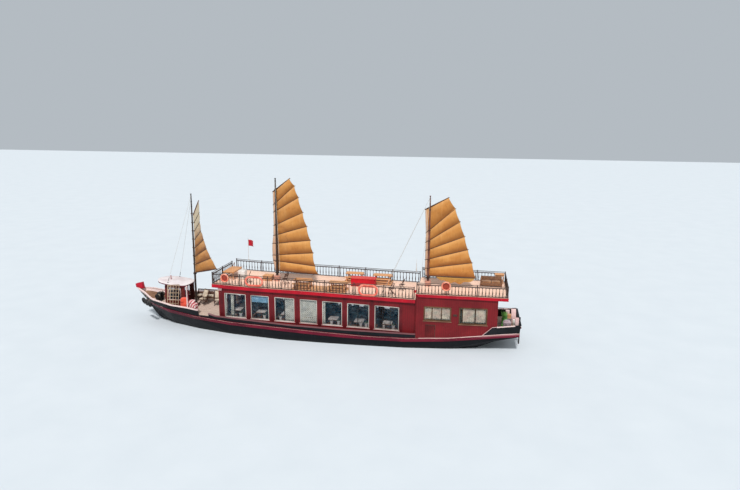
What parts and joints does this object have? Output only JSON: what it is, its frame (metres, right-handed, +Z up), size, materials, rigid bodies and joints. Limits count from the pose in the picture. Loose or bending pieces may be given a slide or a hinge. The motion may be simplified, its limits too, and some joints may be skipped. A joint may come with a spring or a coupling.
{
  "type": "chinese junk",
  "caption": "Motor tour junk: black hull with a rubbing wale, long windowed saloon, raised stern cabin, small wheelhouse on the foredeck and battened lug sails on masts.",
  "frame": {"origin": "plane of the waterline, amidships, on the centreline", "axes": "+X towards the bow, +Y towards port, +Z up"},
  "size_m": [30.47, 5.67, 12.975],
  "materials": {
    "hull": "black paint",
    "deck": "worn deck paint",
    "engine": "painted",
    "bronze": "cast bronze",
    "rudder": "black paint",
    "bulwark": "black paint, pale cap rail",
    "red_trim": "gloss paint",
    "walls": "maroon paint",
    "doors": "varnish",
    "roof_deck": "red edge, pale deck",
    "white_paint": "paint",
    "varnished_wood": "varnish",
    "rails": "worn pale paint",
    "masts": "dark varnish",
    "sailcloth": "tanned cloth",
    "ironwork": "painted",
    "wicker": "woven cane",
    "tan_wood": "varnish"
  },
  "bodies": {
    "boat": {"hull": "hull", "engine_room_deck": "deck", "engine": "engine", "fore_bulwark": "bulwark", "waist_bulwark_port": "bulwark", "waist_bulwark_starboard": "bulwark", "stern_bulwark": "bulwark", "stem_head": "red_trim", "saloon_side_port": "walls", "saloon_side_starboard": "walls", "saloon_front": "walls", "upper_deck": "roof_deck", "stern_cabin_front": "walls", "stern_cabin_side_port": "walls", "stern_cabin_side_starboard": "walls", "stern_cabin_aft": "walls", "stern_deck": "roof_deck", "wheelhouse_side_port": "walls", "wheelhouse_side_starboard": "walls", "wheelhouse_back": "walls", "wheelhouse_front": "walls", "wheelhouse_roof": "white_paint", "helm_pedestal": "varnished_wood", "rail_port": "rails", "rail_starboard": "rails", "rail_stern": "rails", "fore_mast": "masts", "main_mast": "masts", "mizzen_mast": "masts", "stair": "varnished_wood", "boarding_rack": "white_paint", "windlass": "ironwork", "foredeck_bench": "varnished_wood", "wicker_sofa": "wicker", "deck_tables_port": "tan_wood", "deck_tables_starboard": "tan_wood", "fore_table": "tan_wood", "red_table": "red_trim", "corner_table": "tan_wood", "mast_bench": "tan_wood", "water_tank": "white_paint", "stern_locker": "white_paint", "saloon_seating": "varnished_wood"},
    "propeller_body": {"propeller": "bronze"},
    "rudder_body": {"rudder": "rudder"},
    "helm_body": {"helm_wheel": "varnished_wood"},
    "saloon_door_body": {"saloon_door": "doors"},
    "stern_cabin_door_body": {"stern_cabin_door": "doors"},
    "side_hatch_body": {"side_hatch": "walls"},
    "fore_sail_body": {"fore_sail": "sailcloth"},
    "main_sail_body": {"main_sail": "sailcloth"},
    "mizzen_sail_body": {"mizzen_sail": "sailcloth"}
  },
  "joints": [
    {"name": "propeller_spin", "type": "hinge", "parent": "boat", "child": "propeller_body", "pos_m": [-12.48, 0, -0.76], "axis": [1, 0, 0], "continuous": true},
    {"name": "rudder_swing", "type": "hinge", "parent": "boat", "child": "rudder_body", "pos_m": [-15.08, 0, 0], "axis": [0, 0, 1], "range_deg": [-35, 35]},
    {"name": "helm_turn", "type": "hinge", "parent": "boat", "child": "helm_body", "pos_m": [11.64, 0, 2.32], "axis": [1, 0, 0], "range_deg": [-350, 350]},
    {"name": "saloon_door_swing", "type": "hinge", "parent": "boat", "child": "saloon_door_body", "pos_m": [6.935, 0.418, 1.5], "axis": [0, 0, 1], "range_deg": [-95, 0]},
    {"name": "stern_cabin_door_swing", "type": "hinge", "parent": "boat", "child": "stern_cabin_door_body", "pos_m": [-13.3153, 0.418, 1.8], "axis": [0, 0, 1], "range_deg": [0, 95]},
    {"name": "side_hatch_swing", "type": "hinge", "parent": "boat", "child": "side_hatch_body", "pos_m": [-8.446, 2.4566, 0.946], "axis": [0, -0.0705, 0.9975], "range_deg": [-100, 0]},
    {"name": "fore_sail_swing", "type": "hinge", "parent": "boat", "child": "fore_sail_body", "pos_m": [9.93, 0, 4.06], "axis": [0, 0, 1], "range_deg": [-161, 19]},
    {"name": "main_sail_swing", "type": "hinge", "parent": "boat", "child": "main_sail_body", "pos_m": [3.15, 0, 4.48], "axis": [0, 0, 1], "range_deg": [-21, 39]},
    {"name": "mizzen_sail_swing", "type": "hinge", "parent": "boat", "child": "mizzen_sail_body", "pos_m": [-8.37, 0, 4.7], "axis": [0, 0, 1], "range_deg": [-30, 30]}
  ],
  "couplings": [
    {"joint": "helm_turn", "follows": "rudder_swing", "ratio": 10}
  ]
}
